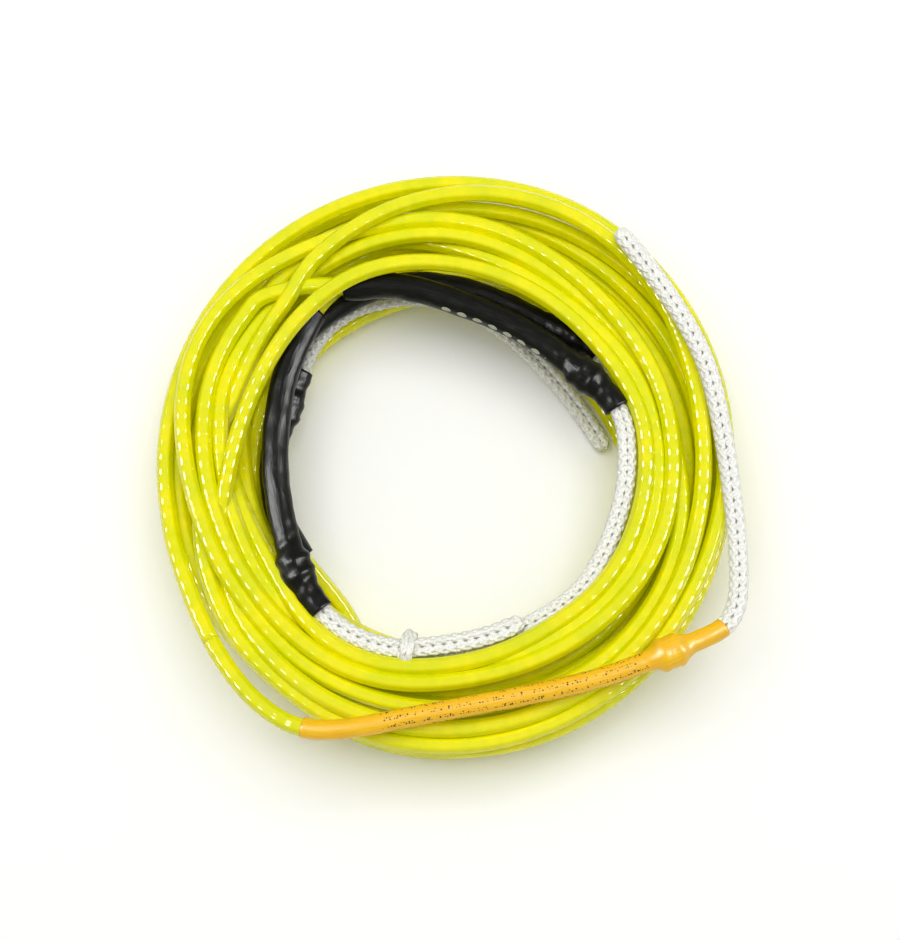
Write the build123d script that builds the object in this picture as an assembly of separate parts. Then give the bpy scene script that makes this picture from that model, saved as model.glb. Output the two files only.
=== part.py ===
from build123d import *
import math
import os

# Sectional tow line for a towed rider, coiled for storage.
#
# A coated main line and two take-off sections lie coiled on the ground. Each section ends
# in a spliced loop of bare braid under a shrink sleeve. The long boat-end loop lies over the
# rim of the coil, the handle-end loop hangs in the middle of it.
#
# Millimetres, +Z up. The origin is on the ground, under the middle of the whole object.

# ---- driving dimensions -------------------------------------------------------------
ROPE = 7.5                 # coated rope, outside
BRAID_WIDE = 7.5           # a folded braid loop, both legs together
BRAID_HIGH = 6.5
BRAID_ROUND = 2.4
SLEEVE = 11.4              # black shrink sleeve, outside
SLIM_SLEEVE = 9.6          # the two sleeves of the second joint
TOW_SLEEVE = 8.3           # yellow warning sleeve, outside
SLEEVE_WALL = 0.7
TOW_SLEEVE_WALL = 0.5
SLEEVE_FIT = 0.1           # clearance all round between a sleeve and what fills it
KNOT_LENGTH = 18.0         # stopper knot along the rope

# the coil: stacked rings about one centre, flat underneath
COIL_CENTRE = (-6.3, 0.0)
COIL_HALF_X = 129.0
COIL_HALF_Y = 135.0
COIL_HEIGHT = 46.0
HOLE_RADIUS = 86.0
TAKEOFF_RADIUS = 101.0     # the two take-off coils fill the ring inside this
SHORT_TAKEOFF_TOP = 9.0
LONG_TAKEOFF_TOP = 27.0
RING_GAP = 0.3
OUTER_ROUND = 14.0
EYE_X = -2.8               # the routes' polar centre, the eye of the coil
EYE_Y = -3.0

os.makedirs("parts", exist_ok=True)


# ---- routes -------------------------------------------------------------------------
def at(angle, radius, height):
    """A point from its angle in degrees and its distance from the eye of the coil."""
    turn = math.radians(angle)
    return Vector(radius * math.cos(turn) + EYE_X, radius * math.sin(turn) + EYE_Y, height)


def route(name, points):
    """Straight runs joined by the largest tangent arcs that the runs leave room for."""
    radii = []
    for before, corner, after in zip(points, points[1:], points[2:]):
        arriving = corner - before
        leaving = after - corner
        turn = math.radians(arriving.get_angle(leaving))
        radii.append(0.45 * min(arriving.length, leaving.length) / math.tan(turn / 2))
    path = FilletPolyline(*points, radius=radii).wire()
    rounded = [round(radius) for radius in radii]
    print(f"{name}: {path.length:.0f} mm long, arc radii {rounded}")
    return path


def stretch(path, start, end):
    """The part of a path between two distances along it."""
    return path.trim(start / path.length, end / path.length)


def across(path):
    """The plane square to a path's start, its x axis level."""
    ahead = path % 0
    level = Vector(ahead.Y, -ahead.X, 0).normalized()
    return Plane(origin=path @ 0, x_dir=level, z_dir=ahead)


def tube(path, diameter):
    """A round bar along a path."""
    return sweep(across(path) * Circle(diameter / 2), path)


def band(path):
    """A folded braid loop, both legs lying together, along a path."""
    section = RectangleRounded(BRAID_WIDE, BRAID_HIGH, BRAID_ROUND)
    return sweep(across(path) * section, path)


def save(node, solid):
    """Write one node."""
    export_step(solid, f"parts/{node}.step")


def save_rope(node, solid, path):
    """Write a stretch of rope or braid, and compare its volume with section times length."""
    section = solid.faces().sort_by_distance(path @ 0)[0].area
    expected = section * path.length
    print(f"{node}: {path.length:.0f} mm, volume {solid.volume:.0f}, expected {expected:.0f}")
    save(node, solid)


# ---- coils --------------------------------------------------------------------------
def ring(outer, low, high):
    """A flat ring about the coil's centre, around the hole."""
    wall = Cylinder(outer, high - low) - Cylinder(HOLE_RADIUS, high - low)
    return Pos(*COIL_CENTRE, (low + high) / 2) * wall


def make_main_coil():
    """The main section's turns: the outer ring, rounded at its rims."""
    block = extrude(Ellipse(COIL_HALF_X, COIL_HALF_Y), COIL_HEIGHT)
    rims = [edge for edge in block.edges() if edge.length > math.pi * COIL_HALF_X]
    block = fillet(rims, OUTER_ROUND)
    return Pos(*COIL_CENTRE) * (block - Cylinder(TAKEOFF_RADIUS, 2 * COIL_HEIGHT))


save("mainline_coil", make_main_coil())
save("short_takeoff_coil", ring(TAKEOFF_RADIUS - RING_GAP, 0, SHORT_TAKEOFF_TOP))
save("long_takeoff_coil", ring(TAKEOFF_RADIUS - RING_GAP, SHORT_TAKEOFF_TOP, LONG_TAKEOFF_TOP))


# ---- sleeved rope ends ----------------------------------------------------------------
def make_end(name, points, lead, sleeve, outside, wall, knot_radius, knot_from_mouth):
    """One end of a section: its lead, shrink sleeve, splice, stopper knot and loop.

    The route runs from the coil to the loop's tip. The lead and sleeve are lengths along it.
    """
    path = route(name, points)
    mouth = lead + sleeve
    knot = mouth - knot_from_mouth
    knot_start = knot - KNOT_LENGTH / 2
    knot_end = knot + KNOT_LENGTH / 2
    inside = outside - 2 * wall
    filling = inside - 2 * SLEEVE_FIT
    centre = Plane(origin=path @ (knot / path.length), z_dir=path % (knot / path.length))
    covered = stretch(path, lead, mouth)

    skin = tube(covered, outside) + centre * Sphere(knot_radius)
    hollow = tube(covered, inside) + centre * Sphere(knot_radius - wall)
    save(f"{name}_sleeve", skin - hollow)
    save(f"{name}_splice", tube(stretch(path, lead, knot_start), filling))
    knotted = tube(stretch(path, knot_start, knot_end), filling)
    save(f"{name}_knot", knotted + centre * Sphere(knot_radius - wall - SLEEVE_FIT))
    save(f"{name}_throat", tube(stretch(path, knot_end, mouth), filling))

    coated = stretch(path, 0, lead)
    save_rope(f"{name}_lead", tube(coated, ROPE), coated)
    free = stretch(path, mouth, path.length)
    save_rope(f"{name}_loop", band(free), free)
    print(f"  mouth {path @ (mouth / path.length)}, heading {path % (mouth / path.length)}")
    print(f"  start {path @ (lead / path.length)}, heading {path % (lead / path.length)}")


# The first joint: the main section's loop through the long take-off's. The main section's
# sleeve lies across the back of the hole, the take-off's down its left side.
make_end("main",
         [at(139, 114.5, 40), at(132, 107, 40.8), at(124.5, 99, 41.8), at(116, 91.8, 43),
          at(105, 88, 44.4), at(90, 82.2, 44.2), at(75, 77, 43.5), at(62, 74, 42.5),
          at(50, 73.8, 41.5), at(38, 75.4, 40.8), at(26, 78.8, 40.4), at(13, 80.4, 39.4),
          at(0, 79, 38.4), at(345, 77, 37.4), at(330, 75.8, 36.2), at(316, 76.8, 35),
          at(302, 80.2, 34.4), at(289, 82.8, 34.6), at(277, 83.8, 34.6), at(267, 84.6, 34.4)],
         lead=47, sleeve=126, outside=SLEEVE, wall=SLEEVE_WALL,
         knot_radius=7.3, knot_from_mouth=21)
make_end("long_boat",
         [at(103, 97, 23.6), at(110, 96.8, 27), at(118, 96, 31.2), at(126, 94.6, 35.6),
          at(133, 92.8, 39.8), at(141, 89.8, 42.2), at(151, 86.6, 42.4), at(165, 83, 41.6),
          at(180, 80.8, 40.6), at(195, 80.1, 40), at(208, 81, 40), at(219, 83.4, 40),
          at(228, 85.6, 39.8), at(238, 86.4, 38.6), at(248, 83.6, 36.6), at(258, 77.6, 34.6),
          at(271, 74.6, 32.8), at(284, 73.8, 31.6), at(296, 73.4, 31)],
         lead=56, sleeve=137, outside=SLEEVE, wall=SLEEVE_WALL,
         knot_radius=7.3, knot_from_mouth=22)

# The second joint, hidden under the upper turns: the long take-off's loop and the short one's.
make_end("long_handle",
         [at(163, 99, 24), at(156.5, 95, 28), at(149.5, 90, 31), at(142, 86.6, 31),
          at(133, 85.2, 31), at(122, 85, 31.8), at(110, 86.4, 32.6), at(98, 87.8, 33),
          at(86, 88.4, 33), at(74, 87.6, 33), at(62, 86.2, 33), at(51, 86, 33.2),
          at(41, 87.6, 33.2), at(31, 90, 32.8), at(21, 90.8, 32), at(11, 91, 31.4)],
         lead=33, sleeve=146, outside=SLIM_SLEEVE, wall=SLEEVE_WALL,
         knot_radius=5.7, knot_from_mouth=16)
make_end("short_boat",
         [at(267, 93, 24), at(274, 92.6, 28.4), at(283, 92.2, 31.6), at(294, 91.6, 32.2),
          at(305, 90.6, 32.6), at(316, 89.6, 33), at(327, 89.4, 33), at(338, 89.8, 33),
          at(347, 90.8, 32.6), at(355.5, 91.4, 31.8), at(364, 91.4, 31.4)],
         lead=42, sleeve=70, outside=SLIM_SLEEVE, wall=SLEEVE_WALL,
         knot_radius=5.7, knot_from_mouth=16)

# The handle end, its loop hanging across the hole.
make_end("handle",
         [at(246, 92, 4.2), at(240, 85, 4.3), at(233, 79.4, 5.6), at(223, 77, 11.6),
          at(210, 78.6, 18), at(196, 81.2, 21), at(184, 82.4, 21), at(172, 83.4, 21),
          at(160, 83.2, 21), at(149, 82.8, 20.8), at(138, 83.2, 20.2), at(127, 83.2, 19.6),
          at(116, 82.2, 19), at(104, 79, 18.2), at(91, 74.4, 16.6), at(78, 69.4, 14.2),
          at(64, 65.4, 11), at(49.5, 62.6, 8), at(35, 62, 5.8), at(21.5, 65, 4.6),
          at(9.5, 70.4, 4.2)],
         lead=51, sleeve=92, outside=SLEEVE, wall=SLEEVE_WALL,
         knot_radius=7.0, knot_from_mouth=18)

# The boat end: the free strand, the yellow sleeve over the coil, the long loop.
make_end("tow",
         [at(196, 126, 33), at(203, 131, 37.4), at(211, 135, 40.6), at(219, 137.2, 42.6),
          at(227, 138, 44.2), at(234.5, 137, 45.6), at(241.5, 133, 47.4),
          at(248.5, 125, 50.2), at(256, 116.4, 51.1), at(265, 109.2, 51),
          at(274.5, 105.2, 50.9), at(284.5, 104, 50.8), at(295, 106.2, 50.8),
          at(304.5, 112, 50.9), at(313, 119, 51.2), at(321, 127.6, 51),
          at(328.5, 138.6, 49.4), at(333.6, 144, 47.8), at(338.6, 143.4, 46.2),
          at(344.5, 139.6, 44.6), at(351.5, 134.6, 43.8), at(359, 130.4, 45.4),
          at(367.5, 126.6, 48.2), at(377, 124, 50.4), at(389.5, 123.6, 50.6),
          at(402, 124.4, 50.6), at(414.6, 130.6, 50.4)],
         lead=108, sleeve=195, outside=TOW_SLEEVE, wall=TOW_SLEEVE_WALL,
         knot_radius=7.0, knot_from_mouth=26)
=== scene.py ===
import math

import bpy
import numpy as np
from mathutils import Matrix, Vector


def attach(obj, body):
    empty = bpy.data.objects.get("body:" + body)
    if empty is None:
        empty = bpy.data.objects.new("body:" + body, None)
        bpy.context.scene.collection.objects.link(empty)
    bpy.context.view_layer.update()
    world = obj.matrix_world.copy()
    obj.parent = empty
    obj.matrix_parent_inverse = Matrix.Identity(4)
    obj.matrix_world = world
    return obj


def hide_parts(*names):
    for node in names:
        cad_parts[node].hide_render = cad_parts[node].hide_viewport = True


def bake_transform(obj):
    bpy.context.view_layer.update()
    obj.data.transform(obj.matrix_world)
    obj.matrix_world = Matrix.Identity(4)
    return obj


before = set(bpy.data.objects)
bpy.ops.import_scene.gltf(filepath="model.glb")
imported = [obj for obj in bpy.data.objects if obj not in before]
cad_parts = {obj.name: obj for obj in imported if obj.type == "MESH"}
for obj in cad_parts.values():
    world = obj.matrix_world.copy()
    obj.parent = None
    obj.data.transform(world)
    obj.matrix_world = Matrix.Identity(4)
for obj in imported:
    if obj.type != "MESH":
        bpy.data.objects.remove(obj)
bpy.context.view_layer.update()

# ---- Studio -----------------------------------------------------------------------------
# A plain pale sheet under the coil. Two long strip lights, seen in gloss alone, draw a line of
# small highlights on each strand. The world and a wide panel overhead light all the rest.


def linear(hex_colour):
    """An sRGB hex colour as linear red, green, blue and an alpha of one."""
    shares = [int(hex_colour[i:i + 2], 16) / 255 for i in (1, 3, 5)]
    return [s / 12.92 if s <= 0.04045 else ((s + 0.055) / 1.055) ** 2.4 for s in shares] + [1.0]


def add(tree, kind, inputs=None, **settings):
    """One node with its settings, each input set to a value or linked to a socket."""
    made = tree.nodes.new(kind)
    for name, value in settings.items():
        setattr(made, name, value)
    for name, value in (inputs or {}).items():
        if isinstance(value, bpy.types.NodeSocket):
            tree.links.new(value, made.inputs[name])
        else:
            made.inputs[name].default_value = value
    return made


def calc(tree, operation, *values):
    """The result of one math node."""
    return add(tree, "ShaderNodeMath", dict(enumerate(values)), operation=operation).outputs[0]


def ramp(tree, factor, low, high):
    """A colour between two, each given as its place on the ramp and its hex colour."""
    shade = add(tree, "ShaderNodeValToRGB", {"Fac": factor})
    for element, (position, colour) in zip(shade.color_ramp.elements, (low, high)):
        element.position = position
        element.color = linear(colour)
    return shade.outputs["Color"]


def blank_material(name):
    """An empty node material and its tree."""
    material = bpy.data.materials.new(name)
    material.use_nodes = True
    material.node_tree.nodes.clear()
    return material, material.node_tree


def matt_paper():
    """Seamless backdrop paper: matt, nearly white, with a trace of fibre."""
    material, tree = blank_material("matt_paper")
    where = add(tree, "ShaderNodeTexCoord")
    fibre = add(tree, "ShaderNodeTexNoise", {"Vector": where.outputs["Object"], "Scale": 900.0})
    relief = add(tree, "ShaderNodeBump", {"Height": fibre.outputs["Fac"], "Strength": 0.05,
                                          "Distance": 0.0002})
    paper = add(tree, "ShaderNodeBsdfPrincipled",
                {"Base Color": linear("#FBFBF9"), "Roughness": 0.9,
                 "Normal": relief.outputs["Normal"]})
    add(tree, "ShaderNodeOutputMaterial", {"Surface": paper.outputs["BSDF"]})
    return material


PAPER_HALF = 2.5
PAPER_LEVEL = -0.0004             # a hair below the lowest turn
corners = [(x * PAPER_HALF, y * PAPER_HALF, PAPER_LEVEL)
           for x, y in ((-1, -1), (1, -1), (1, 1), (-1, 1))]
paper_mesh = bpy.data.meshes.new("paper")
paper_mesh.from_pydata(corners, [], [(0, 1, 2, 3)])
paper_mesh.materials.append(matt_paper())
paper = bpy.data.objects.new("paper", paper_mesh)
bpy.context.scene.collection.objects.link(paper)


LIT_POINT = (0, 0, 0.03)          # all three lights face the middle of the coil


def panel_light(name, place, size, power, in_gloss):
    """A rectangular soft light, seen in gloss alone or else in diffuse light alone."""
    lamp = bpy.data.lights.new(name, "AREA")
    lamp.shape = "RECTANGLE"
    lamp.size, lamp.size_y = size
    lamp.energy = power
    holder = bpy.data.objects.new(name, lamp)
    holder.location = place
    facing = Vector(LIT_POINT) - Vector(place)
    holder.rotation_euler = facing.to_track_quat("-Z", "Y").to_euler()
    holder.visible_glossy = in_gloss
    holder.visible_diffuse = not in_gloss
    bpy.context.scene.collection.objects.link(holder)


panel_light("left_strip", (-0.75, -0.05, 0.62), (0.26, 0.9), 20.0, True)
panel_light("right_strip", (0.75, -0.05, 0.62), (0.26, 0.9), 20.0, True)
panel_light("overhead", (0.0, 0.25, 1.25), (1.3, 0.9), 12.8, False)

WORLD_STRENGTH = 0.46
world = bpy.data.worlds.new("white_room")
world.use_nodes = True
background = world.node_tree.nodes["Background"]
background.inputs["Color"].default_value = linear("#FFFFFF")
background.inputs["Strength"].default_value = WORLD_STRENGTH
bpy.context.scene.world = world
bpy.context.scene.view_settings.view_transform = "Standard"

ELEVATION = math.radians(79)
CAMERA_DISTANCE = 0.80
LOOKED_AT = Vector((-0.0037, -0.0080, 0.045))
lens = bpy.data.cameras.new("camera")
lens.lens = 70.0
lens.sensor_width = 36.0
camera = bpy.data.objects.new("camera", lens)
towards_camera = Vector((0, -math.cos(ELEVATION), math.sin(ELEVATION)))
camera.location = LOOKED_AT + CAMERA_DISTANCE * towards_camera
camera.rotation_euler = (-towards_camera).to_track_quat("-Z", "Y").to_euler()
bpy.context.scene.collection.objects.link(camera)
bpy.context.scene.camera = camera

# ---- How the rope is laid ------------------------------------------------------------------
# The three sections are wound by hand into one ring, the short one first and the main one
# last, so the turns wander and cross. Each section is one rope from loop tip to loop tip.

EYE = np.array([-2.8, -3.0])      # millimetres, the middle of the hole
ROPE = 7.5                        # the coated rope's diameter
SLICES = 48                       # places round the ring where the turns are laid
STEP = 360 / SLICES

# Each route runs from the coil to the loop's tip: angle, distance from the eye, height.
MAIN_END = [(139, 114.5, 40), (131.5, 106, 40.6), (125, 98, 41.6), (119.9, 89.7, 43.6),
            (112.6, 86, 44.2), (106.4, 82.3, 44.2), (98.9, 77.6, 44), (90, 72.6, 43.6),
            (78.1, 68.9, 43), (64.4, 67.1, 42.4), (50, 67.1, 42), (35.6, 69.8, 41.4),
            (26.5, 73.8, 41), (18.2, 77.4, 40.8), (11.9, 78.2, 40.4), (5.3, 77.6, 40),
            (-1.6, 77.2, 39.6), (-8.9, 77.1, 39), (-16.6, 77, 38.2), (-24.9, 77.4, 37.4),
            (-33, 78.3, 36.6), (-40.7, 79.6, 36), (-47.8, 80, 35.4), (-55.2, 79.6, 35),
            (-62.9, 79.3, 34.8), (-71.6, 79.9, 34.6), (-80.8, 81.2, 34.4), (-90, 82.7, 34.2),
            (-98, 84.4, 34), (-103, 85.4, 35)]
LONG_BOAT_END = [(103, 97, 23.6), (110, 97, 27), (118, 96.6, 31.2), (125, 95.4, 35.6),
                 (131, 92.6, 39.4), (136.6, 89.2, 41.6), (143.8, 86.4, 42.4), (152.6, 83.5, 42.2),
                 (162, 80.5, 41.8), (171.6, 78.7, 41.4), (181.5, 78, 41), (192, 78.2, 40.6),
                 (202.7, 79.7, 40.2), (211.7, 82.1, 40), (218.7, 84.4, 39.8), (224.5, 86, 39.6),
                 (229.3, 87.2, 39.4), (233.8, 88, 39.4), (239, 88.2, 39.4), (244.6, 87.8, 39.4),
                 (250.5, 86.9, 39.6), (255.6, 85.5, 39.8), (261, 83.2, 39.8), (267.2, 81.2, 39.8),
                 (274.3, 79.8, 39.8), (281.4, 78.8, 39.8), (287.8, 77.9, 39.6),
                 (292.8, 77.1, 39.2)]
LONG_HANDLE_END = [(163, 99, 24), (156.5, 95.6, 27.4), (150, 92, 30), (143.6, 90.2, 30.6),
                   (136.9, 89.7, 31), (129.7, 89.4, 31), (122.4, 88.9, 31.2), (115.5, 88.5, 31.6),
                   (108.2, 87.4, 32.2), (100.4, 85.6, 33), (91.9, 83.1, 33.6), (82.9, 80.3, 34),
                   (73.1, 77.8, 34.2), (63.2, 76.4, 34.2), (54, 77, 34.2), (46, 79.6, 34),
                   (38, 83, 33.6), (29, 86.8, 33), (20, 89.6, 32.2), (11, 91, 31.4)]
SHORT_BOAT_END = [(267, 93, 24), (274, 92.6, 28.4), (283, 92.2, 31.6), (294, 91.6, 32.2),
                  (305, 90.6, 32.6), (316, 89.6, 33), (327, 89.4, 33), (338, 89.8, 33),
                  (347, 90.8, 32.6), (355.5, 91.4, 31.8), (364, 91.4, 31.4)]
HANDLE_END = [(246, 92, 4.2), (240, 85, 4.3), (233, 79.4, 5.6), (223, 77, 11.6), (210, 78.6, 18),
              (196, 80.6, 21), (184, 81.4, 21), (173, 81.2, 21), (163.4, 80, 21),
              (155.7, 80.6, 21), (148.1, 82.1, 20.8), (140.7, 85, 20.4), (133.5, 87.3, 20),
              (126.4, 88.2, 19.6), (119.5, 87.8, 19.2), (112.8, 86, 18.8), (105.2, 84.4, 18.2),
              (97.1, 82.4, 17.2), (88.6, 79.4, 15.6), (79.7, 75.4, 13.4), (69.4, 71.4, 10.8),
              (58.8, 68.2, 8.4), (47, 66, 6.6), (33.8, 65.9, 5.4), (22, 67.9, 4.6),
              (10.7, 71.4, 4.2)]
TOW_END = [(188.3, 127.1, 33), (192.5, 127.5, 34), (196.7, 127.6, 35.6), (201.1, 127.5, 37.6),
           (205.5, 127.8, 39.6), (210, 128.7, 41.4), (214.9, 130.1, 43), (219.9, 131.7, 44.4),
           (225.4, 133.4, 45.6), (230.7, 134.8, 46.6), (235.3, 135.1, 47.2), (238.9, 134.6, 47.6),
           (242.3, 132.9, 48.4), (246.4, 129.1, 49.8), (251.6, 123.2, 50.9), (259, 115.6, 51),
           (269.5, 109.5, 51), (280.9, 107.6, 51), (292.3, 109.7, 51), (303.1, 115.1, 51.2),
           (311.5, 120.7, 51.2), (318, 126.7, 50.6), (323, 132.7, 49.6), (326.5, 137.4, 48.8),
           (329.3, 139.3, 48), (332.2, 138.6, 47), (335.4, 136.2, 46), (339.3, 132.9, 45.2),
           (343.8, 129.2, 44.6), (348.6, 125.8, 44.4), (353.7, 123, 44.8), (359.7, 120.6, 46),
           (366, 119.2, 47.6), (372.5, 118.8, 49.2), (378.6, 119.2, 50.2), (384.8, 119.4, 50.6),
           (391.4, 119.7, 50.6), (398.7, 120.7, 50.6), (405.5, 122.6, 50.6), (410.6, 124.9, 50.4),
           (413.9, 126.6, 50.2)]

# The top turns as the hand left them: angle run through, distance from the eye, height.
FIRST_TURNS = [(139, 114.5, 40), (160, 113.5, 40), (178, 109, 41), (190, 104.5, 41),
               (215, 105, 41), (240, 102.5, 41), (255, 99, 41), (270, 96, 41), (285, 92, 41),
               (315, 92.5, 41.5), (345, 95.5, 41), (380, 98, 41), (400, 96.5, 41),
               (420, 98.5, 41), (430, 102.5, 41), (440, 108, 41), (450, 113, 39), (460, 115.5, 36),
               (475, 115.5, 35), (485, 116.5, 36), (495, 123, 39), (505, 129, 40),
               (512, 130.5, 41), (520, 128, 42), (530, 121.5, 42), (540, 116.5, 42),
               (558, 108, 41), (590, 110.5, 38), (640, 108, 37), (675, 110.5, 37),
               (705, 106, 38), (725, 96, 38), (740, 92, 38), (780, 95, 39), (800, 101.5, 40),
               (820, 108, 38), (840, 108.5, 35), (870, 110, 37), (890, 105, 39), (910, 98, 40),
               (935, 97.5, 39), (965, 92, 38), (990, 87, 38), (1035, 89, 38), (1050, 89, 38),
               (1080, 89.5, 38), (1100, 88, 38), (1140, 89, 39), (1160, 96, 37), (1180, 102, 34)]
LAST_TURNS = [(-900, 98, 34), (-875, 92, 37), (-855, 90, 39), (-825, 91, 40), (-780, 84, 40),
              (-765, 83, 40), (-735, 85.5, 40), (-700, 85.5, 41), (-675, 84, 42),
              (-660, 84, 43), (-645, 86, 44.5), (-625, 88.5, 49), (-612, 92, 51.8),
              (-600, 93.5, 52.6), (-587, 92, 51.6), (-573, 91.2, 50.6), (-560, 91, 47.5),
              (-548, 93, 44.5), (-538, 97, 41.5), (-515, 112, 38),
              (-500, 118, 39), (-480, 121.5, 40), (-450, 118, 41), (-420, 118, 41),
              (-390, 110.5, 41), (-345, 110.5, 42), (-315, 122.5, 42), (-300, 126.5, 42),
              (-285, 126.5, 42), (-270, 124.5, 42), (-250, 117, 42), (-230, 107, 42),
              (-210, 101, 41), (-195, 101, 38), (-180, 106, 35), (-164, 118, 36),
              (-145, 119, 39), (-125, 121.5, 39), (-100, 125, 39), (-60, 120.5, 39),
              (-20, 118.5, 38), (8, 122.5, 37), (20, 124, 36.5), (32, 125.8, 36),
              (45, 129.5, 35.5), (55, 131.5, 35), (95, 131, 33),
              (140, 131, 31), (160, 129, 31), (175, 127.6, 31.6), (188.3, 127.1, 33)]
# the short section's one strand that shows low inside the ring, beside the handle loop
LOW_STRAND = [(-370, 88, 5), (-356, 82, 5), (-347, 79.4, 5), (-338, 76.4, 5), (-326, 74.2, 5.6),
              (-317, 74.2, 6), (-308, 76, 6.5), (-297, 80, 7.5), (-285, 88, 9)]
# the main section's other turns go down to the ground and up again
HIDDEN_LAYERS = [29.5, 22, 14.5, 6.5, 4.5, 12, 19.5, 27.5, 32]


def eased(values, reach):
    """Values averaged with their neighbours under a cosine bell of that reach, ends held."""
    bell = 1 + np.cos(np.linspace(-np.pi, np.pi, 2 * reach + 3)[1:-1])
    padded = np.pad(values, reach, mode="edge")
    return np.convolve(padded, bell / bell.sum(), mode="valid")


TURNS_PER_SWEEP = 2.3
WANDER = 5.5                      # millimetres, before easing
LOOSE_PULL, KNOWN_PULL = 0.01, 0.30   # how firmly a turn is held to the place it was laid


def lay(first, last, known, layers, inner, outer, random):
    """Distance and height for each slice from one angle to another.

    Known stretches are read from their lists. Elsewhere the rope steps through the layers and
    sweeps between the inner and the outer distance, out and back about every two turns.
    """
    if last > first:
        ticks = np.arange(math.floor(first / STEP) + 1, math.floor(last / STEP) + 1)
    else:
        ticks = np.arange(math.ceil(first / STEP) - 1, math.ceil(last / STEP), -1)
    angle = ticks * STEP
    share = np.linspace(0, 1, len(ticks))
    turns = abs(angle - first) / 360
    sweep = 0.5 + 0.5 * np.sin(2 * np.pi * turns / TURNS_PER_SWEEP + 1.0)
    wander = eased(random.normal(0, 1, len(ticks)), 9) * WANDER
    distance = inner + (outer - inner) * sweep + wander
    height = eased(np.interp(share, np.linspace(0, 1, len(layers)), layers), 12)
    pull = np.full(len(ticks), LOOSE_PULL)
    for points in known:
        at, away, up = np.array(points).T
        order = np.argsort(at)
        inside = (angle >= at.min()) & (angle <= at.max())
        distance[inside] = np.interp(angle[inside], at[order], away[order])
        height[inside] = np.interp(angle[inside], at[order], up[order])
        pull[inside] = KNOWN_PULL
    return ticks, eased(distance, 2), eased(height, 2), pull


random = np.random.default_rng(65)
MAIN_TURNS = 7200                 # degrees, twenty turns
LAST_ANGLE = MAIN_TURNS + 188.3
last_turns = [(angle + MAIN_TURNS, away, up) for angle, away, up in LAST_TURNS]
laid = [lay(139, LAST_ANGLE, [FIRST_TURNS, last_turns], HIDDEN_LAYERS, 105, 126, random),
        lay(103, 163 - 1800, [], [24, 21, 13.5, 13.5, 21, 24], 90, 98, random),
        lay(267, 246 - 720, [LOW_STRAND], [24, 14, 5, 4], 90, 98, random)]
EXTENT = [len(part[0]) for part in laid]
tick = np.concatenate([part[0] for part in laid])
distance = np.concatenate([part[1] for part in laid])
height = np.concatenate([part[2] for part in laid])
pull = np.concatenate([part[3] for part in laid])
wanted = distance.copy(), height.copy()

# sleeves and leads are already in place, and the turns settle round them
SLEEVE_RADIUS = {"main": 5.7, "long_boat": 5.7, "long_handle": 4.8, "short_boat": 4.8,
                 "handle": 5.7, "tow": 4.2}
ENDS = {"main": MAIN_END, "long_boat": LONG_BOAT_END, "long_handle": LONG_HANDLE_END,
        "short_boat": SHORT_BOAT_END, "handle": HANDLE_END, "tow": TOW_END}
placed = []
for end, points in ENDS.items():
    at, away, up = np.array(points, float).T
    order = np.argsort(at)
    ticks = np.arange(math.ceil(at.min() / STEP), math.floor(at.max() / STEP) + 1)
    placed.append(np.stack([ticks % SLICES, np.interp(ticks * STEP, at[order], away[order]),
                            np.interp(ticks * STEP, at[order], up[order]),
                            np.full(len(ticks), SLEEVE_RADIUS[end])], 1))
placed = np.concatenate(placed)


def table_by_slice(slice_of, count):
    """One row for each slice with the indices that lie in it, filled up with a dummy index."""
    rows = [np.flatnonzero(slice_of == s) for s in range(SLICES)]
    wide = max(len(row) for row in rows)
    return np.array([np.pad(row, (0, wide - len(row)), constant_values=count) for row in rows])


slice_of = np.concatenate([tick % SLICES, placed[:, 0]]).astype(int)
total = len(tick)
members = table_by_slice(slice_of, len(slice_of))
SLACK = 0.12                      # millimetres kept free round each turn
radius_of = np.concatenate([np.full(total, ROPE / 2 + SLACK), placed[:, 3], [0.0]])
free = np.concatenate([np.ones(total), np.zeros(len(placed) + 1)])
angle_of = np.radians(tick * 360 / SLICES)
# a slightly oval wall round the turns, off centre, with a dent where the tow strand lies
DENT_ANGLE = np.radians(227)
outer_wall = (132.0 - 3.4 * np.cos(angle_of) + 3.2 * np.sin(angle_of)
              - 2.2 * np.cos(2 * angle_of)
              - 6.0 * np.exp(2.5 * (np.cos(angle_of - DENT_ANGLE) - 1) * 4))
ends_at = np.cumsum(EXTENT)
starts_at = ends_at - EXTENT
anchors = [(MAIN_END[0], TOW_END[0]), (LONG_BOAT_END[0], LONG_HANDLE_END[0]),
           (SHORT_BOAT_END[0], HANDLE_END[0])]
ROUNDS = 420
FAR = 1e4                         # where the dummy index lies, out of everyone's way
PUSH = 0.55                       # the part of an overlap that one round takes away
MOST_MOVE = 1.2                   # millimetres in one round
SAG = 0.004
STIFFNESS = 0.12
HIDDEN_TOP = 38                   # millimetres, how high a turn may rise that isn't known
ceiling = np.where(pull > LOOSE_PULL, np.maximum(wanted[1] + 1.2, HIDDEN_TOP), HIDDEN_TOP)
contact_share = free[members]
mine = radius_of[members]
reach_of = mine[:, :, None] + mine[:, None, :]
not_self = ~np.eye(members.shape[1], dtype=bool)[None]
real = (members < len(slice_of))[:, :, None] & (members < len(slice_of))[:, None, :] & not_self
mobility = contact_share[:, :, None] / np.maximum(
    contact_share[:, :, None] + contact_share[:, None, :], 1)
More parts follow.
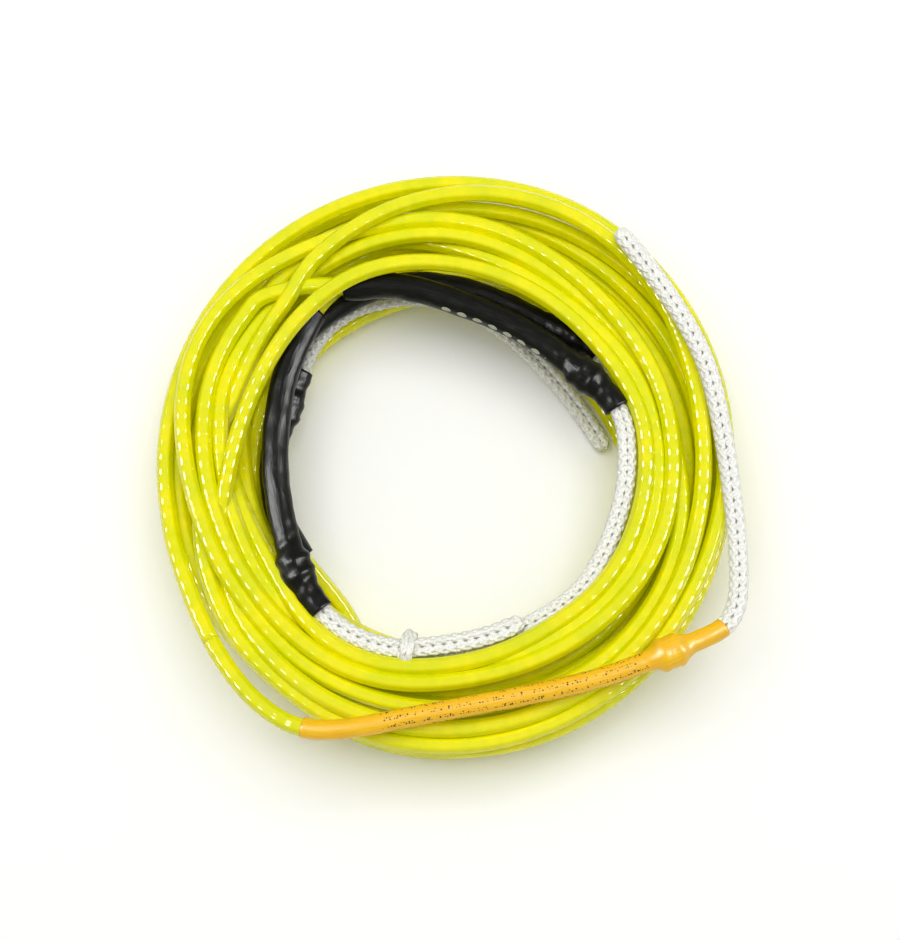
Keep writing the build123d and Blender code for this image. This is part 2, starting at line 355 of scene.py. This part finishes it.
for turn in range(ROUNDS):
    away = np.concatenate([distance, placed[:, 1], [FAR]])[members]
    up = np.concatenate([height, placed[:, 2], [FAR]])[members]
    gap_away = away[:, :, None] - away[:, None, :]
    gap_up = up[:, :, None] - up[:, None, :]
    apart = np.hypot(gap_away, gap_up) + 1e-6
    depth = np.where(real, np.maximum(reach_of - apart, 0), 0) * mobility * PUSH
    moved_away = np.zeros(len(slice_of) + 1)
    moved_up = np.zeros(len(slice_of) + 1)
    moved_away[members] = (depth * gap_away / apart).sum(2)
    moved_up[members] = (depth * gap_up / apart).sum(2)
    distance += np.clip(moved_away[:total], -MOST_MOVE, MOST_MOVE)
    height += np.clip(moved_up[:total], -MOST_MOVE, MOST_MOVE)
    fading = max(0.35, 1 - turn / (0.8 * ROUNDS))
    distance += pull * fading * (wanted[0] - distance)
    height += pull * fading * (wanted[1] - height) - SAG
    for start, stop, (head, tail) in zip(starts_at, ends_at, anchors):
        for values, column in ((distance, 1), (height, 2)):
            line = np.concatenate([[head[column]], values[start:stop], [tail[column]]])
            bend = np.zeros_like(line)
            bend[1:-1] = line[:-2] + line[2:] - 2 * line[1:-1]
            values[start:stop] += STIFFNESS * bend[1:-1]
    # the wall draws in towards the ground and the top, as a bundle's rim does
    rim = np.clip(np.abs(height - 23) - 10, 0, 14) / 14
    distance = np.minimum(distance, outer_wall - ROPE / 2 - 3 * rim ** 2)
    height = np.clip(height, ROPE / 2, ceiling)
away = np.concatenate([distance, placed[:, 1], [FAR]])[members]
up = np.concatenate([height, placed[:, 2], [FAR]])[members]
deep = np.where(real, reach_of - np.hypot(away[:, :, None] - away[:, None, :],
                                          up[:, :, None] - up[:, None, :]), 0)
print("deepest overlap between turns, mm:", round(float(deep.max()), 2),
      "pairs over half a millimetre:", int((deep > 0.5).sum() // 2),
      "points laid:", total)


def place(angle, away, up):
    """Points in metres from angles in degrees, distances from the eye and heights."""
    turn = np.radians(angle)
    x = away * np.cos(turn) + EYE[0]
    y = away * np.sin(turn) + EYE[1]
    return np.stack([x, y, np.broadcast_to(up, x.shape)], -1) / 1000


def rope_line(name, first_end, part, last_end):
    """The smooth line of a section, in metres, from loop tip to loop tip."""
    start, stop = starts_at[part], ends_at[part]
    turns = place(tick[start:stop] * 360 / SLICES, distance[start:stop], height[start:stop])
    points = np.concatenate([place(*np.array(first_end[::-1], float).T), turns,
                             place(*np.array(last_end, float).T)])
    curve = bpy.data.curves.new(name, "CURVE")
    curve.dimensions = "3D"
    curve.resolution_u = 12
    spline = curve.splines.new("NURBS")
    spline.points.add(len(points) - 1)
    spline.points.foreach_set("co", np.column_stack([points, np.ones(len(points))]).ravel())
    spline.order_u = 3
    spline.use_endpoint_u = True
    holder = bpy.data.objects.new(name, curve)
    bpy.context.scene.collection.objects.link(holder)
    bpy.context.view_layer.update()
    mesh = bpy.data.meshes.new_from_object(holder)
    line = np.empty(len(mesh.vertices) * 3, np.float32)
    mesh.vertices.foreach_get("co", line)
    bpy.data.objects.remove(holder)
    bpy.data.meshes.remove(mesh)
    return line.reshape(-1, 3).astype(float)


main_path = rope_line("main_path", MAIN_END, 0, TOW_END)
long_path = rope_line("long_path", LONG_BOAT_END, 1, LONG_HANDLE_END)
short_path = rope_line("short_path", SHORT_BOAT_END, 2, HANDLE_END)

# ---- Coated rope -----------------------------------------------------------------------------
# Hollow-braided polyethylene line, drawn through a clear neon polyurethane coat. The braid's
# picks press through the coat as shallow bumps, so a long highlight breaks into dashes.


def spans(line):
    """Distance run along a line at each of its points, in metres."""
    return np.concatenate([[0], np.cumsum(np.linalg.norm(np.diff(line, axis=0), axis=1))])


def stretch(line, start, end, spacing):
    """Evenly spaced points of a line from one distance along it to another."""
    run = spans(line)
    wanted_at = np.linspace(start, end, max(8, int(round((end - start) / spacing)) + 1))
    return np.stack([np.interp(wanted_at, run, line[:, axis]) for axis in range(3)], 1)


def bearings(line):
    """For each point, the unit vectors level to the right, and square to that and the line."""
    ahead = np.gradient(line, axis=0)
    ahead /= np.linalg.norm(ahead, axis=1, keepdims=True)
    right = np.stack([ahead[:, 1], -ahead[:, 0], np.zeros(len(line))], 1)
    right /= np.linalg.norm(right, axis=1, keepdims=True)
    return right, np.cross(right, ahead)


def rings(line, right, up, radius, sides):
    """Circles of points round a line, the radius given once or for each ring or point."""
    turn = np.linspace(0, 2 * np.pi, sides, endpoint=False)
    return line[:, None] + radius * (np.cos(turn)[None, :, None] * right[:, None]
                                     + np.sin(turn)[None, :, None] * up[:, None])


def skin(name, grid, along, material):
    """A closed mesh round a grid of rings, a fan at each end, u the distance, v the way round."""
    rows, columns = grid.shape[:2]
    ends = np.stack([grid[0].mean(0), grid[-1].mean(0)])
    vertices = np.concatenate([grid.reshape(-1, 3), ends])
    row, column = np.meshgrid(np.arange(rows - 1), np.arange(columns), indexing="ij")
    after = (column + 1) % columns
    here, beyond = row * columns, (row + 1) * columns
    quads = np.stack([here + column, here + after, beyond + after, beyond + column], -1)
    quads = quads.reshape(-1, 4)
    ring = np.arange(columns)
    first = np.stack([np.full(columns, rows * columns), (ring + 1) % columns, ring], 1)
    base = (rows - 1) * columns
    last = np.stack([np.full(columns, rows * columns + 1), base + ring,
                     base + (ring + 1) % columns], 1)
    mesh = bpy.data.meshes.new(name)
    mesh.from_pydata(vertices, [], quads.tolist() + first.tolist() + last.tolist())
    u = np.stack([along[row], along[row], along[row + 1], along[row + 1]], -1)
    v = np.stack([column, column + 1, column + 1, column], -1) / columns
    cap = np.zeros((2 * columns * 3, 2))
    cap[:columns * 3, 0] = along[0]
    cap[columns * 3:, 0] = along[-1]
    side = np.stack([u, v], -1).reshape(-1, 2)
    layer = mesh.uv_layers.new(name="rope")
    layer.data.foreach_set("uv", np.concatenate([side, cap]).ravel())
    mesh.polygons.foreach_set("use_smooth", np.arange(len(mesh.polygons)) < len(quads))
    mesh.materials.append(material)
    piece = bpy.data.objects.new(name, mesh)
    bpy.context.scene.collection.objects.link(piece)
    return piece


def round_bar(name, line, radius, sides, material, offset=0.0):
    """A round bar along a line, its u starting at the offset."""
    grid = rings(line, *bearings(line), radius, sides)
    return skin(name, grid, spans(line) + offset, material)


def diamond(tree, u, v, length, picks):
    """Bumps of a braid: the product of two sines wound opposite ways round the rope."""
    around = calc(tree, "MULTIPLY", v, 2 * np.pi * picks)
    sines = []
    for way in (1, -1):
        along = calc(tree, "MULTIPLY", u, way * 2 * np.pi / length)
        sines.append(calc(tree, "SINE", calc(tree, "ADD", along, around)))
    return calc(tree, "MULTIPLY", *sines)


def neon_polyurethane():
    """Extruded coat, 0.6 mm thick: wet gloss, its colour deeper and greener between picks as
    painted shade, and a faint painted glow for its fluorescence that lifts its shade.
    """
    material, tree = blank_material("neon_polyurethane")
    uv = add(tree, "ShaderNodeUVMap", uv_map="rope")
    parts = add(tree, "ShaderNodeSeparateXYZ", {"Vector": uv.outputs["UV"]})
    picks = diamond(tree, parts.outputs["X"], parts.outputs["Y"], 0.0135, 3)
    where = add(tree, "ShaderNodeTexCoord")
    streak = add(tree, "ShaderNodeTexNoise", {"Vector": where.outputs["Object"], "Scale": 60.0,
                                              "Detail": 3.0})
    shade = ramp(tree, streak.outputs["Fac"], (0.35, "#DADC02"), (0.65, "#EFE502"))
    # painted shade: the colour is mixed towards a deeper green with the pick pattern
    level = add(tree, "ShaderNodeMapRange", {"Value": picks, "From Min": -1.0,
                                             "From Max": 1.0, "To Min": 0.0, "To Max": 0.22})
    colour = add(tree, "ShaderNodeMix", {"Factor": level.outputs["Result"], "A": shade,
                                         "B": linear("#CFD606")}, data_type="RGBA")
    relief = add(tree, "ShaderNodeBump", {"Height": picks, "Strength": 1.0,
                                          "Distance": 0.00027})
    # the faint greenish emission is a painted glow: it stands for the coat's fluorescence and
    # lifts its shade
    coat = add(tree, "ShaderNodeBsdfPrincipled",
               {"Base Color": colour.outputs["Result"], "Roughness": 0.13, "IOR": 1.5,
                "Specular IOR Level": 0.4, "Emission Color": linear("#C6D000"),
                "Emission Strength": 0.05, "Subsurface Weight": 0.12, "Subsurface Scale": 0.002,
                "Subsurface Radius": (1.0, 1.0, 0.1), "Normal": relief.outputs["Normal"]})
    add(tree, "ShaderNodeOutputMaterial", {"Surface": coat.outputs["BSDF"]})
    return material


# each end's loop and sleeve, as lengths along its section's line from the loop's tip
LOOP = {"main": 0.168, "long_boat": 0.093, "long_handle": 0.042, "short_boat": 0.043,
        "handle": 0.185, "tow": 0.191}
SLEEVE = {"main": 0.138, "long_boat": 0.141, "long_handle": 0.162, "short_boat": 0.070,
          "handle": 0.090, "tow": 0.187}
TUCK = 0.004                      # how far the coated rope goes on inside its sleeves
LOOP_TUCK = 0.006                 # and how far the braid loop does
FREE_STRAND = 0.060               # the last of the main line, made a piece of its own
LAP = 0.001                       # how far that stretch starts inside the main line
ROPE_SIDES = 14
coat = neon_polyurethane()


def coated_line(name, path, first, last, nodes, kept=0.0):
    """A section's coated rope between its two sleeves, less a stretch kept for another piece."""
    whole = spans(path)[-1]
    start = LOOP[first] + SLEEVE[first] - TUCK
    end = whole - LOOP[last] - SLEEVE[last] + TUCK
    line = stretch(path, start, end - kept, 0.0036)
    piece = round_bar(name, line, ROPE / 2000, ROPE_SIDES, coat)
    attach(piece, "coil")
    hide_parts(*nodes)
    return piece, line, end


main_line, main_run, main_stop = coated_line(
    "main_line", main_path, "main", "tow", ["mainline_coil", "main_lead"], FREE_STRAND)
strand_run = stretch(main_path, main_stop - FREE_STRAND - LAP, main_stop, 0.0024)
free_strand = round_bar("free_strand", strand_run, ROPE / 2000, ROPE_SIDES, coat,
                        spans(main_run)[-1] - LAP)
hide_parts("tow_lead")
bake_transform(free_strand)

long_line, long_run, _ = coated_line("long_takeoff_line", long_path, "long_boat", "long_handle",
                                     ["long_takeoff_coil", "long_boat_lead", "long_handle_lead"])
short_line, short_run, _ = coated_line("short_takeoff_line", short_path, "short_boat", "handle",
                                       ["short_takeoff_coil", "short_boat_lead", "handle_lead"])

# ---- Shrink sleeves ---------------------------------------------------------------------------
# Polyolefin tube, slid over each splice and shrunk on with hot air. It bulges over the
# stopper knot, wrinkles on both sides of it, and is cut square at both ends.


def soft_noise(random, rows, columns, reach):
    """Smooth unevenness over a tube's grid: noise eased along it and wrapped round it."""
    rough = random.normal(0, 1, (rows, columns))
    for j in range(columns):
        rough[:, j] = eased(rough[:, j], reach)
    rough = (rough + np.roll(rough, 1, 1) + np.roll(rough, -1, 1)) / 3
    return rough / (np.abs(rough).max() + 1e-9)


def shrunk_tube(name, line, radius, knot_radius, knot_from_mouth, wrinkle, material, seed):
    """A tube along the line, its mouth at the last point.

    The radius is even, raised to a double bulge over the knot, with folds that run aslant and
    die away from it, and small unevenness. Both ends turn in to a wall's thickness.
    """
    random = np.random.default_rng(seed)
    run = spans(line)
    sides = 28
    turn = np.linspace(0, 2 * np.pi, sides, endpoint=False)
    right, up = bearings(line)
    from_knot = (run - (run[-1] - knot_from_mouth)) * 1000
    lobes = np.exp(-(from_knot / 7.6) ** 4) * (0.86 - 0.16 * np.cos(2 * np.pi * from_knot / 7.4))
    bulge = (knot_radius - radius) * lobes
    near = np.exp(-(np.abs(from_knot) / 15) ** 2)
    folds = np.sin(from_knot[:, None] * 2 * np.pi / 6.4 + 2 * turn[None]) * near[:, None]
    flutes = np.sin(5 * turn[None] + 0.05 * from_knot[:, None]) * (0.35 + 0.65 * near[:, None])
    uneven = soft_noise(random, len(line), sides, 5)
    wall = radius + bulge[:, None] + wrinkle * (0.45 * folds + 0.22 * flutes + 0.6 * uneven)
    filled = np.sqrt(np.maximum((knot_radius - 0.75) ** 2 - from_knot ** 2, 0))
    wall = np.maximum(wall, np.maximum(filled[:, None] + 0.45, radius - 0.55))
    lip = np.array([0.86, 0.97])
    wall = np.concatenate([wall[:1] * lip[:, None], wall, wall[-1:] * lip[::-1, None]])
    grow = np.concatenate([[0, 0], np.arange(len(line)), [len(line) - 1] * 2]).astype(int)
    grid = rings(line[grow], right[grow], up[grow], wall[:, :, None] / 1000, sides)
    return skin(name, grid, run[grow], material)


DASH_PITCH = 0.0076               # the grey dashes on the main section's black sleeve


def shrunk_polyolefin(marked_from=0.0, marked_to=0.0):
    """Heat-shrink tube, black: satin, drawn into fine lengthwise lines, greyer where scuffed.

    One sleeve carries a row of plain grey dashes along the side that faces the hole.
    """
    material, tree = blank_material("shrunk_polyolefin")
    uv = add(tree, "ShaderNodeUVMap", uv_map="rope")
    wide = add(tree, "ShaderNodeMapping", {"Vector": uv.outputs["UV"], "Scale": (60, 14, 1)})
    drawn = add(tree, "ShaderNodeTexNoise", {"Vector": wide.outputs["Vector"], "Scale": 3.0,
                                             "Detail": 4.0})
    colour = ramp(tree, drawn.outputs["Fac"], (0.4, "#050504"), (0.75, "#15160F"))
    if marked_to:
        parts = add(tree, "ShaderNodeSeparateXYZ", {"Vector": uv.outputs["UV"]})
        along, round_it = parts.outputs["X"], parts.outputs["Y"]
        wave = calc(tree, "SINE", calc(tree, "MULTIPLY", along, 2 * np.pi / DASH_PITCH))
        off_line = calc(tree, "MULTIPLY", calc(tree, "SUBTRACT", round_it, 0.055), 30.0)
        rounded = calc(tree, "SUBTRACT", wave, calc(tree, "MULTIPLY", off_line, off_line))
        dash = calc(tree, "GREATER_THAN", rounded, -0.35)
        length = calc(tree, "MULTIPLY", calc(tree, "GREATER_THAN", along, marked_from),
                      calc(tree, "LESS_THAN", along, marked_to))
        mark = calc(tree, "MULTIPLY", dash, length)
        printed = add(tree, "ShaderNodeMix", {"Factor": mark, "A": colour,
                                              "B": linear("#B4BAA4")}, data_type="RGBA")
        colour = printed.outputs["Result"]
    relief = add(tree, "ShaderNodeBump", {"Height": drawn.outputs["Fac"], "Strength": 0.5,
                                          "Distance": 0.0004})
    tube = add(tree, "ShaderNodeBsdfPrincipled",
               {"Base Color": colour, "Roughness": 0.3, "IOR": 1.5,
                "Specular IOR Level": 0.18, "Normal": relief.outputs["Normal"]})
    add(tree, "ShaderNodeOutputMaterial", {"Surface": tube.outputs["BSDF"]})
    return material


SLEEVE_SPACING = 0.0011
LOOP_SPACING = 0.0009


def end_run(path, end, at_start):
    """The points along an end's sleeve and along its loop, both ordered towards the tip."""
    whole = spans(path)[-1]
    if at_start:
        sleeve = stretch(path, LOOP[end], LOOP[end] + SLEEVE[end], SLEEVE_SPACING)[::-1]
        loop = stretch(path, 0, LOOP[end] + LOOP_TUCK, LOOP_SPACING)[::-1]
    else:
        sleeve = stretch(path, whole - LOOP[end] - SLEEVE[end], whole - LOOP[end], SLEEVE_SPACING)
        loop = stretch(path, whole - LOOP[end] - LOOP_TUCK, whole, LOOP_SPACING)
    return sleeve, loop


RUNS = {"main": end_run(main_path, "main", True), "tow": end_run(main_path, "tow", False),
        "long_boat": end_run(long_path, "long_boat", True),
        "long_handle": end_run(long_path, "long_handle", False),
        "short_boat": end_run(short_path, "short_boat", True),
        "handle": end_run(short_path, "handle", False)}
black = shrunk_polyolefin()
marked_black = shrunk_polyolefin(DASH_PITCH * 6, DASH_PITCH * 13)
# each knot's radius in millimetres and its distance from the sleeve's mouth in metres
KNOT = {"main": (7.8, 0.021), "long_boat": (7.8, 0.022), "long_handle": (6.2, 0.016),
        "short_boat": (6.2, 0.016), "handle": (7.5, 0.018), "tow": (7.6, 0.026)}
for seed, end in enumerate(("main", "long_boat", "long_handle", "short_boat", "handle")):
    knot_radius, from_mouth = KNOT[end]
    sleeve = shrunk_tube(f"{end}_shrink_sleeve", RUNS[end][0], SLEEVE_RADIUS[end] + 0.15,
                         knot_radius, from_mouth, 0.75,
                         marked_black if end == "main" else black, seed)
    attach(sleeve, "coil")
    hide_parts(f"{end}_sleeve")

# ---- Warning sleeve ----------------------------------------------------------------------------
# The same tube in amber at the boat end, printed round with small rows of marks. The print
# is drawn as plain dashes in rows and spells nothing.


PRINT_ROWS = 8
PRINT_FROM, PRINT_TO = 0.034, 0.150   # metres along the sleeve


def printed_polyolefin():
    """Heat-shrink tube, amber, glossier than the black, with rows of small black dashes."""
    material, tree = blank_material("printed_polyolefin")
    uv = add(tree, "ShaderNodeUVMap", uv_map="rope")
    parts = add(tree, "ShaderNodeSeparateXYZ", {"Vector": uv.outputs["UV"]})
    dash_place = add(tree, "ShaderNodeMapping", {"Vector": uv.outputs["UV"],
                                                 "Scale": (900, 17, 1)})
    dashes = add(tree, "ShaderNodeTexVoronoi", {"Vector": dash_place.outputs["Vector"],
                                                "Scale": 1.0, "Randomness": 0.55})
    along, round_it = parts.outputs["X"], parts.outputs["Y"]
    spot = calc(tree, "LESS_THAN", dashes.outputs["Distance"], 0.36)
    rows = calc(tree, "SINE", calc(tree, "MULTIPLY", round_it, 2 * np.pi * PRINT_ROWS))
    ink = calc(tree, "MULTIPLY", spot, calc(tree, "GREATER_THAN", rows, 0.25))
    middle = calc(tree, "MULTIPLY", calc(tree, "GREATER_THAN", along, PRINT_FROM),
                  calc(tree, "LESS_THAN", along, PRINT_TO))
    printed = calc(tree, "MULTIPLY", ink, middle)
    mottle = add(tree, "ShaderNodeTexNoise", {"Vector": uv.outputs["UV"], "Scale": 90.0})
    shade = ramp(tree, mottle.outputs["Fac"], (0.35, "#F0B008"), (0.65, "#FAC80E"))
    colour = add(tree, "ShaderNodeMix", {"Factor": printed, "A": shade,
                                         "B": linear("#2A2410")}, data_type="RGBA")
    relief = add(tree, "ShaderNodeBump", {"Height": mottle.outputs["Fac"], "Strength": 0.3,
                                          "Distance": 0.0003})
    tube = add(tree, "ShaderNodeBsdfPrincipled",
               {"Base Color": colour.outputs["Result"], "Roughness": 0.33, "IOR": 1.5,
                "Normal": relief.outputs["Normal"]})
    add(tree, "ShaderNodeOutputMaterial", {"Surface": tube.outputs["BSDF"]})
    return material


knot_radius, from_mouth = KNOT["tow"]
warning = shrunk_tube("warning_sleeve", RUNS["tow"][0], 4.3, knot_radius, from_mouth, 0.35,
                      printed_polyolefin(), 9)
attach(warning, "tow_end")
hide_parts("tow_sleeve")

# ---- Braid loops ------------------------------------------------------------------------------
# Bare hollow braid of slick white polypropylene, turned back and spliced into itself. The two
# legs of each loop lie flat together and meet at the tip.


def slick_braid():
    """Polypropylene multifilament, undyed: bright, faintly translucent, with fine filaments."""
    material, tree = blank_material("slick_braid")
    where = add(tree, "ShaderNodeTexCoord")
    filament = add(tree, "ShaderNodeTexNoise", {"Vector": where.outputs["Object"],
                                                "Scale": 1400.0, "Detail": 2.0})
    shade = ramp(tree, filament.outputs["Fac"], (0.3, "#D6D6CC"), (0.7, "#F4F4EE"))
    relief = add(tree, "ShaderNodeBump", {"Height": filament.outputs["Fac"], "Strength": 0.5,
                                          "Distance": 0.0002})
    fibre = add(tree, "ShaderNodeBsdfPrincipled",
                {"Base Color": shade, "Roughness": 0.45, "IOR": 1.49,
                 "Sheen Weight": 0.2, "Normal": relief.outputs["Normal"]})
    add(tree, "ShaderNodeOutputMaterial", {"Surface": fibre.outputs["BSDF"]})
    return material


def bundle_grid(line, half_wide, half_high, sides):
    """Rings of an ellipse carried along a line, for one strand of filaments."""
    right, up = bearings(line)
    turn = np.linspace(0, 2 * np.pi, sides, endpoint=False)
    return line[:, None] + (half_wide * np.cos(turn)[None, :, None] * right[:, None]
                            + half_high * np.sin(turn)[None, :, None] * up[:, None])


def join(name, parts):
    """Several closed skins made one mesh."""
    with bpy.context.temp_override(active_object=parts[0], selected_editable_objects=parts):
        bpy.ops.object.join()
    parts[0].name = name
    return parts[0]


LEG_WIDE = 0.00185                # half a leg's width, and half its height
LEG_HIGH = 0.0026
PLAIT = 0.0190                    # one turn of a strand round the leg
STRANDS = 8
STRAND_WIDE = 0.00098             # half a strand's width, and half its height
STRAND_HIGH = 0.00060
CLOSING = 0.006                   # the legs draw together over this length at the tip


def braided_loop(name, run, material, seed, legs=(-1, 1)):
    """Two legs side by side, each of eight strands wound four each way round an oval.

    A strand's distance from the leg's middle rises where it passes over another and falls
    where it passes under, twice as often as it goes round. The legs meet at the tip.
    """
    random = np.random.default_rng(seed)
    distance_run = spans(run)
    right, up = bearings(run)
    parts = []
    tip = np.clip((distance_run[-1] - distance_run) / CLOSING, 0, 1)
    spread = 0.94 * LEG_WIDE * np.sqrt(1 - (1 - tip) ** 2)
    for side in legs:
        drift = eased(random.normal(0, 1, len(run)), 40) * 0.0006
        leg = run + (side * spread[:, None]) * right + drift[:, None] * up
        parts.append(skin(f"{name}_core", bundle_grid(leg, LEG_WIDE * 0.90, LEG_HIGH * 0.88, 12),
                          distance_run, material))
        for strand in range(STRANDS):
            way = 1 if strand % 2 else -1
            turn = way * 2 * np.pi * distance_run / PLAIT + strand // 2 * np.pi / 2 + side
            over = 1 + 0.15 * np.cos(4 * (turn - way * side) + way * np.pi / 2)
            centre = (leg + (LEG_WIDE * 0.80 * over * np.cos(turn))[:, None] * right
                      + (LEG_HIGH * 0.84 * over * np.sin(turn))[:, None] * up)
            parts.append(skin(f"{name}_strand", bundle_grid(centre, STRAND_WIDE, STRAND_HIGH, 6),
                              distance_run, material))
    return join(name, parts)


white = slick_braid()
# the main loop's bight is turned up and over the long take-off's loop that it holds
BIGHT_ANGLE, BIGHT_AWAY, BIGHT_UP = 256.8, 85.2, 35.0   # the middle of its arch
BIGHT_HALF, BIGHT_RISE = 6.2, 8.4
over_join = np.radians(np.linspace(12, 168, 30))
bight_run = place(np.full(30, BIGHT_ANGLE), BIGHT_AWAY - BIGHT_HALF * np.cos(over_join),
                  BIGHT_UP + BIGHT_RISE * np.sin(over_join))
bight = braided_loop("main_bight", bight_run, white, 47, legs=(-0.5, 0.5))
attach(bight, "coil")

HINGED = ("handle", "tow")        # the other loops lie still in the coil
loops = {}
for seed, end in enumerate(("main", "long_boat", "long_handle", "short_boat", "handle", "tow")):
    loops[end] = braided_loop(f"{end}_braid_loop", RUNS[end][1], white, 40 + seed)
    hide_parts(f"{end}_loop")
    if end not in HINGED:
        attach(loops[end], "coil")


def mouth_blend(end):
    """The loop's placement baked into its mesh, the same for both hinged ends."""
    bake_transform(loops[end])


mouth_blend("handle")
mouth_blend("tow")

# ---- Inside the sleeves -----------------------------------------------------------------------
# The stripped rope end with its spliced tail, the stopper knot, and the braid that leads out
# of the mouth. All are the same undyed braid, and only show if a sleeve is cut open.


def spliced_end(name, line, radius, knot_radius, knot_from_mouth):
    """Rings along the sleeve's line: an even radius, and a ball's outline over the knot."""
    line = line[3:-3]
    from_knot = spans(line) - spans(line)[-1] + knot_from_mouth - 0.0033
    ball = np.sqrt(np.maximum(knot_radius ** 2 - from_knot ** 2, 0))
    wall = np.maximum(ball, radius)[:, None, None]
    return skin(name, rings(line, *bearings(line), wall, 16), spans(line), white)


for end in ENDS:
    knot_radius, from_mouth = KNOT[end]
    core = spliced_end(f"{end}_spliced_end", RUNS[end][0], (SLEEVE_RADIUS[end] - 0.95) / 1000,
                       (knot_radius - 1.3) / 1000, from_mouth)
    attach(core, "tow_end" if end == "tow" else "coil")
    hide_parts(f"{end}_splice", f"{end}_knot", f"{end}_throat")
